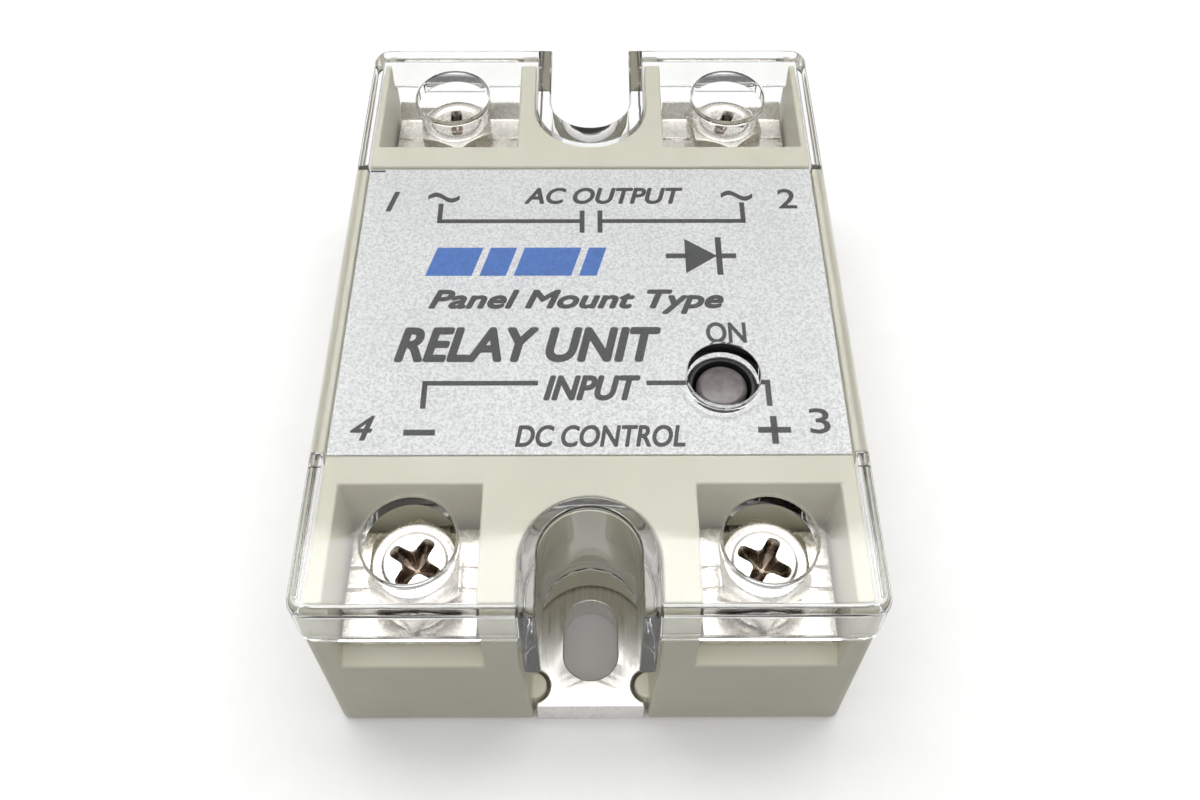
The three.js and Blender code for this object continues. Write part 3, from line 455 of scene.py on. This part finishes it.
def ring_solid(name, rings, centre):
    """A closed solid from rings of points of equal count, each end closed at its middle."""
    form = bmesh.new()
    rows = []
    for ring in rings:
        rows.append([form.verts.new(centre + Vector(point)) for point in ring])
    count = len(rows[0])
    for lower, upper in zip(rows, rows[1:]):
        for index in range(count):
            after = (index + 1) % count
            form.faces.new((lower[index], lower[after], upper[after], upper[index]))
    for row, ends in ((rows[0], True), (rows[-1], False)):
        middle = sum((vertex.co for vertex in row), Vector()) / count
        hub = form.verts.new(middle)
        for index in range(count):
            after = (index + 1) % count
            corners = (hub, row[after], row[index]) if ends else (hub, row[index], row[after])
            form.faces.new(corners)
    bmesh.ops.recalc_face_normals(form, faces=form.faces)
    mesh = bpy.data.meshes.new(name)
    form.to_mesh(mesh)
    form.free()
    return mesh


TURNED_STEPS = 64


def turned_rings(profile):
    """Rings of a turned profile of (radius, height) points."""
    angles = [TAU * step / TURNED_STEPS for step in range(TURNED_STEPS)]
    rings = []
    for radius, height in profile:
        rings.append([(radius * math.cos(a), radius * math.sin(a), height) for a in angles])
    return rings


# ---- Screws ----
HEAD_FLATS = 7.0 * MM  # across the flats of the hexagon
HEAD_CORNER_LIMIT = 3.99 * MM  # the hexagon's corners are turned off to this radius
HEAD_HEIGHT = 2.6 * MM
HEAD_TOP_RADIUS = 3.325 * MM
HEAD_CHAMFER_SLOPE = 0.7  # drop for each millimetre outwards
HEAD_TURNS = {1: 0.12, 2: 1.22, 3: 1.08, 4: 1.05}  # how far each screw is turned, in radians
THREAD_PITCH = 0.7 * MM
THREAD_DEPTH = 0.36 * MM
THREAD_MARGIN = 0.3 * MM  # plain ends of the shank
THREAD_ROWS = 8  # rings of points for each turn of the thread
SHANK_RADIUS = 1.9 * MM
TIP_RADIUS = 0.7 * MM
TIP_BEVEL = (0.5 * MM, 0.02 * MM)  # inside the shank's radius, and above the tip
TIP_TAPER = 0.8 * MM  # how far up from the tip the shank is narrower
TIP_SHARE = 0.8  # of the shank's radius, at the tip
# The head's edges as (how far in, how far from the underside or the top) in millimetres.
UNDERSIDE_EDGE = [(0.22, 0.0), (0.06, 0.06), (0.0, 0.22)]
TOP_EDGE = [(0.0, 0.10), (0.05, 0.03), (0.17, 0.0)]
CHAMFER_START = 0.04 * MM  # below the top, at the top's radius
CHAMFER_FOOT = 0.10 * MM  # height of the rounding where the chamfer meets the flats
CHAMFER_INSET = 0.03 * MM
# The shallow dish round the recess, as (radius, depth below the top) in millimetres.
HEAD_DISH = [(2.66, 0.01), (2.56, 0.04), (2.46, 0.14), (2.36, 0.17)]
# Half of one arm of the cross recess, and the fillet to the next arm, as (x, y) in millimetres.
RECESS_ARM = [(2.15, 0.0), (2.13, 0.22), (2.03, 0.42), (1.8, 0.52), (1.4, 0.53), (1.0, 0.54)]
RECESS_FILLET = [(0.85, 0.57), (0.76, 0.62), (0.68, 0.68)]
RECESS_RIM = 0.10 * MM  # width of the rounding round the cross
RECESS_RIM_DEPTH = 0.18 * MM
RECESS_EDGE_DEPTH = 0.26 * MM
RECESS_CORE = 0.7 * MM
# Down the recess: the share of the cross's reach that is left, and the depth in millimetres.
RECESS_LEVELS = [(0.93, 0.9), (0.80, 1.45), (0.62, 1.7)]
RECESS_POINT = (0.2 * MM, 1.9 * MM)  # radius and depth of its bottom
ROUND_STEPS = 72  # points round a screw or a washer
CORNER_SPREAD = 0.05  # radians between the points that round a corner of the hexagon
LEAST_STEP = 0.006  # two angles nearer than this count as one, in radians
ANGLE_DIGITS = 5


def recess_radius(angle):
    """How far the cross recess reaches from the axis at this angle, at the face of the head."""
    quarter = TAU / 4
    folded = abs(angle - round(angle / quarter) * quarter)
    points = [(math.atan2(y, x), math.hypot(x, y) * MM) for x, y in RECESS_ARM + RECESS_FILLET]
    for (first, near), (second, far) in zip(points, points[1:]):
        if folded <= second:
            share = (folded - first) / (second - first)
            return near + (far - near) * share
    return points[-1][1]


def hexagon_radius(angle):
    """How far the side of the head is from the axis at this angle."""
    sixth = TAU / 6
    off_flat = angle - round(angle / sixth) * sixth
    return min(HEAD_FLATS / 2 / math.cos(off_flat), HEAD_CORNER_LIMIT)


def screw_angles():
    """Angles at every corner of the hexagon and of the cross, with even steps between."""
    wanted = {round(TAU * step / ROUND_STEPS, ANGLE_DIGITS) for step in range(ROUND_STEPS)}
    for quarter in range(4):
        for x, y in RECESS_ARM + RECESS_FILLET:
            for side in (-1, 1):
                turned = quarter * TAU / 4 + side * math.atan2(y, x)
                wanted.add(round(turned % TAU, ANGLE_DIGITS))
    for corner in range(6):
        for offset in (-CORNER_SPREAD, 0.0, CORNER_SPREAD):
            wanted.add(round((TAU / 12 + corner * TAU / 6 + offset) % TAU, ANGLE_DIGITS))
    kept = []
    for angle in sorted(wanted):
        if not kept or angle - kept[-1] > LEAST_STEP:
            kept.append(angle)
    return kept


def screw_ring(radius, height):
    """Points round the axis; the radius and the height are numbers or functions of the angle."""
    ring = []
    for angle in screw_angles():
        r = radius(angle) if callable(radius) else radius
        z = height(angle) if callable(height) else height
        ring.append((r * math.cos(angle), r * math.sin(angle), z))
    return ring


def thread_ring(height, tip):
    """The thread's section at this height: its crest comes round once for each pitch."""

    def radius(angle):
        turns = height / THREAD_PITCH - angle / TAU
        slope = abs(2 * (turns - math.floor(turns)) - 1)
        taper = min(1.0, (height - tip) / TIP_TAPER)
        return SHANK_RADIUS * (TIP_SHARE + (1 - TIP_SHARE) * taper) - THREAD_DEPTH * (1 - slope)

    return screw_ring(radius, height)


def shank_rings(tip, head_bottom):
    """The threaded shank from its tip to the underside of the head."""
    bevel_width, bevel_height = TIP_BEVEL
    rings = [screw_ring(TIP_RADIUS, tip), screw_ring(SHANK_RADIUS - bevel_width, tip + bevel_height)]
    start = tip + THREAD_MARGIN
    end = head_bottom - THREAD_MARGIN
    steps = int((end - start) / (THREAD_PITCH / THREAD_ROWS))
    for step in range(steps + 1):
        rings.append(thread_ring(start + (end - start) * step / steps, tip))
    rings.append(screw_ring(SHANK_RADIUS, head_bottom))
    return rings


def head_rings(bottom, top):
    """The hexagon from its underside to the edge of its top face, with its edges rounded."""

    def chamfer(angle):
        drop = (hexagon_radius(angle) - HEAD_TOP_RADIUS) * HEAD_CHAMFER_SLOPE
        return top - CHAMFER_START - drop

    def inset(amount):
        return lambda angle: hexagon_radius(angle) - amount

    rings = [screw_ring(inset(inwards * MM), bottom + rise * MM) for inwards, rise in UNDERSIDE_EDGE]
    rings.append(screw_ring(hexagon_radius, lambda angle: chamfer(angle) - CHAMFER_FOOT))
    rings.append(screw_ring(inset(CHAMFER_INSET), chamfer))
    for inwards, drop in TOP_EDGE:
        rings.append(screw_ring(HEAD_TOP_RADIUS - inwards * MM, top - drop * MM))
    return rings


def recess_rings(top):
    """The dish in the top face and the cross recess down to its bottom."""

    def rim(angle):
        return min(recess_radius(angle) + RECESS_RIM, RECESS_REACH)

    def drawn_in(share):
        def radius(angle):
            full = recess_radius(angle)
            return full * share - (full - RECESS_CORE) * (1 - share)

        return radius

    rings = [screw_ring(radius * MM, top - depth * MM) for radius, depth in HEAD_DISH]
    rings.append(screw_ring(rim, top - RECESS_RIM_DEPTH))
    rings.append(screw_ring(recess_radius, top - RECESS_EDGE_DEPTH))
    for share, depth in RECESS_LEVELS:
        rings.append(screw_ring(drawn_in(share), top - depth * MM))
    radius, depth = RECESS_POINT
    rings.append(screw_ring(radius, top - depth))
    return rings


def make_screw(number):
    node = f"terminal_screw_{number}"
    low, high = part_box(node)
    head_bottom = high.z - HEAD_HEIGHT
    rings = shank_rings(low.z, head_bottom) + head_rings(head_bottom, high.z) + recess_rings(high.z)
    mesh = ring_solid(node + "_fine", rings, Vector((0, 0, 0)))
    mesh.transform(Matrix.Translation(axis_of(node)) @ Matrix.Rotation(HEAD_TURNS[number], 4, "Z"))
    finish_mesh(mesh, screw_metal(number, axis_of(node), high.z))
    add_piece(node + "_fine", mesh, body_of_node[node], node)


# ---- Split lock washers ----
WASHER_INNER = 2.17 * MM
WASHER_CORNER = 0.12 * MM
WASHER_RISE = 0.10 * MM  # how far each end of the coil stands off its middle
WASHER_HALF_SPLIT = 0.3 * MM


def washer_section(inner, outer, low, high):
    """A rectangle with cut corners, as (radius, height) points."""
    cut = WASHER_CORNER
    return [
        (inner + cut, low),
        (outer - cut, low),
        (outer, low + cut),
        (outer, high - cut),
        (outer - cut, high),
        (inner + cut, high),
        (inner, high - cut),
        (inner, low + cut),
    ]


def make_lock_washer(number):
    """One turn of a coil, split on the side of the housing's end."""
    node = f"lock_washer_{number}"
    low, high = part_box(node)
    centre = axis_of(f"terminal_screw_{number}")
    outer = (high.x - low.x) / 2
    split = -TAU / 4 if centre.y < 0 else TAU / 4
    half_gap = WASHER_HALF_SPLIT / outer
    section = washer_section(WASHER_INNER, outer, low.z + WASHER_RISE, high.z - WASHER_RISE)
    rings = []
    for step in range(ROUND_STEPS + 1):
        share = step / ROUND_STEPS
        angle = split + half_gap + (TAU - 2 * half_gap) * share
        lift = (share - 0.5) * 2 * WASHER_RISE
        rings.append([(r * math.cos(angle), r * math.sin(angle), z + lift) for r, z in section])
    mesh = ring_solid(node + "_fine", rings, centre)
    finish_mesh(mesh, MATERIALS["terminal_nickel"])
    add_piece(node + "_fine", mesh, body_of_node[node], node)


# ---- Lamp ----
LENS_RADIUS = 2.2 * MM
LENS_COLLAR = 0.9 * MM  # height of the flange at its foot
LENS_CHAMFER = 0.1 * MM
DOME_HEIGHT = 0.75 * MM
DOME_INSET = 0.55 * MM  # how far the dome's shoulder draws in
DOME_SHARE = 0.8  # of the dome's height, at its shoulder
SHOULDER_STEPS = 10
CROWN_STEPS = 7


def lamp_profile(low, high):
    """The lens from the foot of its flange to its crown, as (radius, height) points."""
    flange = (high.x - low.x) / 2
    collar = low.z + LENS_COLLAR
    profile = [
        (flange - LENS_CHAMFER, low.z),
        (flange, low.z + LENS_CHAMFER),
        (flange, collar - LENS_CHAMFER),
        (flange - LENS_CHAMFER, collar),
        (LENS_RADIUS, collar + LENS_CHAMFER / 2),
    ]
    for step in range(SHOULDER_STEPS + 1):
        angle = TAU / 4 * step / SHOULDER_STEPS
        reach = LENS_RADIUS - DOME_INSET * (1 - math.cos(angle))
        rise = DOME_HEIGHT * DOME_SHARE * math.sin(angle)
        profile.append((reach, high.z - DOME_HEIGHT + rise))
    crown = LENS_RADIUS - DOME_INSET
    for step in range(1, CROWN_STEPS):
        left = 1 - step / CROWN_STEPS
        profile.append((crown * left, high.z - (1 - DOME_SHARE) * DOME_HEIGHT * left**2))
    return profile


def make_lamp():
    mesh = ring_solid("led_lamp_fine", turned_rings(lamp_profile(*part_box("led_lamp"))), axis_of("led_lamp"))
    finish_mesh(mesh, MATERIALS["lamp_lens"])
    add_piece("led_lamp_fine", mesh, body_of_node["led_lamp"], "led_lamp")


# ---- Print on the label ----
INK_LIFT = 0.004 * MM  # off the film
INK_THICKNESS = 0.02 * MM
PRINT_Y = -0.3 * MM  # of the whole print, along the label
LINE = 0.46 * MM
SIGN_LINE = 0.55 * MM
FINE_LINE = 0.2 * MM
WAVE_WIDTH, WAVE_HEIGHT, WAVE_LINE = 3.0 * MM, 0.75 * MM, 0.55 * MM
WAVE_STEPS = 16
LETTER_STEPS = 5  # how finely the curves of a letter are drawn
LETTER_DEPTH = 0.5  # before the letters are scaled to the ink's thickness
BOLD_COPIES = 8
BOLD_LIFT = 0.001 * MM  # between the copies that thicken a letter
INK_SAME_POINT = 0.0005 * MM


def text_mesh(words, height, width, slant):
    """Lettering as a thin solid, height tall and width wide in all, with its middle at the origin."""
    curve = bpy.data.curves.new("lettering", "FONT")
    curve.body = words
    curve.align_x = "CENTER"
    curve.align_y = "CENTER"
    curve.shear = slant
    curve.extrude = LETTER_DEPTH
    curve.resolution_u = LETTER_STEPS
    holder = bpy.data.objects.new("lettering", curve)
    scene.collection.objects.link(holder)
    depsgraph = bpy.context.evaluated_depsgraph_get()
    mesh = bpy.data.meshes.new_from_object(holder.evaluated_get(depsgraph))
    bpy.data.objects.remove(holder)
    bpy.data.curves.remove(curve)
    xs = [vertex.co.x for vertex in mesh.vertices]
    ys = [vertex.co.y for vertex in mesh.vertices]
    zs = [vertex.co.z for vertex in mesh.vertices]
    scale_x = width / (max(xs) - min(xs))
    scale_y = height / (max(ys) - min(ys))
    scale_z = INK_THICKNESS / (max(zs) - min(zs))
    middle = Vector(((max(xs) + min(xs)) / 2, (max(ys) + min(ys)) / 2, min(zs)))
    mesh.transform(Matrix.Diagonal((scale_x, scale_y, scale_z, 1)) @ Matrix.Translation(-middle))
    return mesh


def bold_text(words, x, y, height, width, weight, slant):
    """Meshes of the words and their places: copies round a circle thicken every stroke by weight."""
    plain = text_mesh(words, height - 2 * weight, width - 2 * weight, slant)
    placed = [(plain, (x, y, 0))]
    for step in range(BOLD_COPIES if weight else 0):
        angle = TAU * step / BOLD_COPIES
        shift = (x + weight * math.cos(angle), y + weight * math.sin(angle), (step + 1) * BOLD_LIFT)
        placed.append((plain.copy(), shift))
    return placed


def polygon_mesh(points):
    """A flat polygon as a thin solid."""
    form = bmesh.new()
    face = form.faces.new([form.verts.new((x, y, 0)) for x, y in points])
    raised = bmesh.ops.extrude_face_region(form, geom=[face])
    lifted = [item for item in raised["geom"] if isinstance(item, bmesh.types.BMVert)]
    bmesh.ops.translate(form, verts=lifted, vec=(0, 0, INK_THICKNESS))
    bmesh.ops.recalc_face_normals(form, faces=form.faces)
    mesh = bpy.data.meshes.new("shape")
    form.to_mesh(mesh)
    form.free()
    return mesh


def line_points(x0, y0, x1, y1, width):
    """The outline of a straight stroke."""
    along = Vector((x1 - x0, y1 - y0)).normalized() * width / 2
    across = Vector((-along.y, along.x))
    return [
        (x0 - along.x - across.x, y0 - along.y - across.y),
        (x1 + along.x - across.x, y1 + along.y - across.y),
        (x1 + along.x + across.x, y1 + along.y + across.y),
        (x0 - along.x + across.x, y0 - along.y + across.y),
    ]


def wave_points(x, y):
    """The outline of a wave sign with its middle at x, y."""
    spine = []
    for step in range(WAVE_STEPS + 1):
        share = step / WAVE_STEPS
        spine.append((x + (share - 0.5) * WAVE_WIDTH, y + math.sin(share * TAU) * WAVE_HEIGHT / 2))
    lower = [(px, py - WAVE_LINE / 2) for px, py in spine]
    upper = [(px, py + WAVE_LINE / 2) for px, py in reversed(spine)]
    return lower + upper


def join_meshes(name, parts, material, level):
    """One printed piece from (mesh, place) pairs, at this level on the label."""
    form = bmesh.new()
    for mesh, (x, y, lift) in parts:
        mesh.transform(Matrix.Translation((x, y + PRINT_Y, level + lift)))
        form.from_mesh(mesh)
        bpy.data.meshes.remove(mesh)
    bmesh.ops.remove_doubles(form, verts=form.verts, dist=INK_SAME_POINT)
    mesh = bpy.data.meshes.new(name)
    form.to_mesh(mesh)
    form.free()
    mesh.materials.append(material)
    add_piece(name, mesh, "relay")


# Each entry: the words, their middle (x, y), height, width and added weight in millimetres, and slant.
LETTERING = [
    ("1", -18.7, 11.0, 2.5, 1.15, 0.06, 0.25),
    ("2", 18.7, 11.3, 2.5, 1.75, 0.04, 0.0),
    ("3", 18.95, -13.5, 2.45, 1.7, 0.03, 0.0),
    ("4", -18.7, -14.1, 2.4, 1.9, 0.05, 0.25),
    ("AC OUTPUT", 1.3, 11.7, 2.1, 15.1, 0.08, 0.25),
    ("DC CONTROL", 0.85, -14.9, 2.1, 13.9, 0.06, 0.2),
    ("Panel Mount Type", -1.2, -1.05, 2.75, 26.2, 0.12, 0.3),
    ("RELAY UNIT", -5.3, -5.7, 3.75, 23.0, 0.17, 0.25),
    ("ON", 11.85, -4.45, 2.25, 3.5, 0.06, 0.0),
    ("INPUT", 0.2, -10.2, 2.55, 8.2, 0.12, 0.3),
]
# The wiring lines: the x, y of both ends, in millimetres.
STROKES = [
    (-14.1, 8.5, -0.75, 8.5),
    (0.92, 8.5, 14.35, 8.5),
    (-14.1, 8.5, -14.1, 10.5),
    (14.35, 8.5, 14.35, 10.6),
    (-0.75, 7.3, -0.75, 9.6),
    (0.92, 7.3, 0.92, 9.6),
    (-13.9, -9.7, -4.6, -9.7),
    (-13.9, -9.7, -13.9, -12.0),
    (5.0, -9.7, 8.1, -9.7),
    (14.2, -9.65, 15.0, -9.65),
    (15.0, -9.65, 15.0, -11.8),
]
# The minus sign, the plus sign and the lines of the diode sign, in the same way.
SIGNS = [
    (-15.0, -14.55, -12.95, -14.55),
    (14.1, -14.35, 16.25, -14.35),
    (15.16, -13.3, 15.16, -15.4),
    (7.2, 4.25, 8.8, 4.25),
    (11.8, 4.25, 13.1, 4.25),
    (11.8, 2.3, 11.8, 6.2),
]
CORNER_MARK = (-21.1, 14.95, -19.9, 14.95)
# Corners of the diode sign's triangle, and middles of the two mains signs.
DIODE_BODY = [(8.7, 2.2), (11.6, 4.25), (8.7, 6.3)]
WAVES = [(-13.9, 11.5), (13.95, 11.7)]
# The blue bars: the left end of the foot and the width of each, in millimetres.
BARS = [(-14.9, 4.2), (-10.0, 2.4), (-6.9, 5.2), (-1.0, 1.6)]
BAR_FOOT, BAR_TOP, BAR_SLANT = 1.95, 5.25, 0.9


def stroke_mesh(stroke, width):
    return polygon_mesh(line_points(*[value * MM for value in stroke], width))


def bar_mesh(left, width):
    foot_right = left + width
    corners = [
        (left, BAR_FOOT),
        (foot_right, BAR_FOOT),
        (foot_right + BAR_SLANT, BAR_TOP),
        (left + BAR_SLANT, BAR_TOP),
    ]
    return polygon_mesh([(x * MM, y * MM) for x, y in corners])


def make_print():
    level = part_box("face_label")[1].z + INK_LIFT
    flat = (0, 0, 0)
    black = []
    for words, *measures, slant in LETTERING:
        black += bold_text(words, *[value * MM for value in measures], slant)
    black += [(stroke_mesh(stroke, LINE), flat) for stroke in STROKES]
    black += [(stroke_mesh(stroke, SIGN_LINE), flat) for stroke in SIGNS]
    black.append((stroke_mesh(CORNER_MARK, FINE_LINE), flat))
    black.append((polygon_mesh([(x * MM, y * MM) for x, y in DIODE_BODY]), flat))
    black += [(polygon_mesh(wave_points(x * MM, y * MM)), flat) for x, y in WAVES]
    join_meshes("label_print", black, INK_BLACK, level)
    blue = [(bar_mesh(left, width), flat) for left, width in BARS]
    join_meshes("label_bars", blue, INK_BLUE, level)


# ---- The relay ----
def dress_other_nodes(done):
    """Each node without a finer piece of its own keeps its shape and takes its finish."""
    for name, node in nodes.items():
        if name in done:
            continue
        node.data.materials.clear()
        node.data.materials.append(MATERIALS[slot_of_node[name]])


# How far the edges of each piece are rounded; the second list holds for each of the four terminals.
EDGE_RADIUS = {
    "housing": 0.2 * MM,
    "clear_cover": 0.22 * MM,
    "base_plate": 0.15 * MM,
    "face_label": 0.05 * MM,
    "led_bezel": 0.08 * MM,
}
TERMINAL_EDGES = {
    "terminal_plate": 0.12 * MM,
    "terminal_clamp": 0.08 * MM,
    "terminal_nut": 0.2 * MM,
}


def make_relay():
    done = set(EDGE_RADIUS)
    for node, radius in EDGE_RADIUS.items():
        rounded_copy(node, radius)
    for number in HEAD_TURNS:
        for kind, radius in TERMINAL_EDGES.items():
            rounded_copy(f"{kind}_{number}", radius)
            done.add(f"{kind}_{number}")
        make_screw(number)
        make_lock_washer(number)
        done.update((f"terminal_screw_{number}", f"lock_washer_{number}"))
    make_lamp()
    done.add("led_lamp")
    make_print()
    dress_other_nodes(done)


# ---- Floor ----
FLOOR_RADIUS = 3.0
FLOOR_SEGMENTS = 64
FLOOR_DROP = 0.02 * MM  # below the relay


def make_floor():
    form = bmesh.new()
    bmesh.ops.create_circle(form, cap_ends=True, radius=FLOOR_RADIUS, segments=FLOOR_SEGMENTS)
    mesh = bpy.data.meshes.new("floor")
    form.to_mesh(mesh)
    form.free()
    mesh.materials.append(floor_paper())
    floor = bpy.data.objects.new("floor", mesh)
    floor.location.z = -FLOOR_DROP
    floor.visible_diffuse = False  # the relay's sides stay darker than its top
    scene.collection.objects.link(floor)


# ---- The scene ----
make_camera()
make_lights()
make_world()
make_floor()
make_relay()
scene.view_settings.view_transform = "Standard"
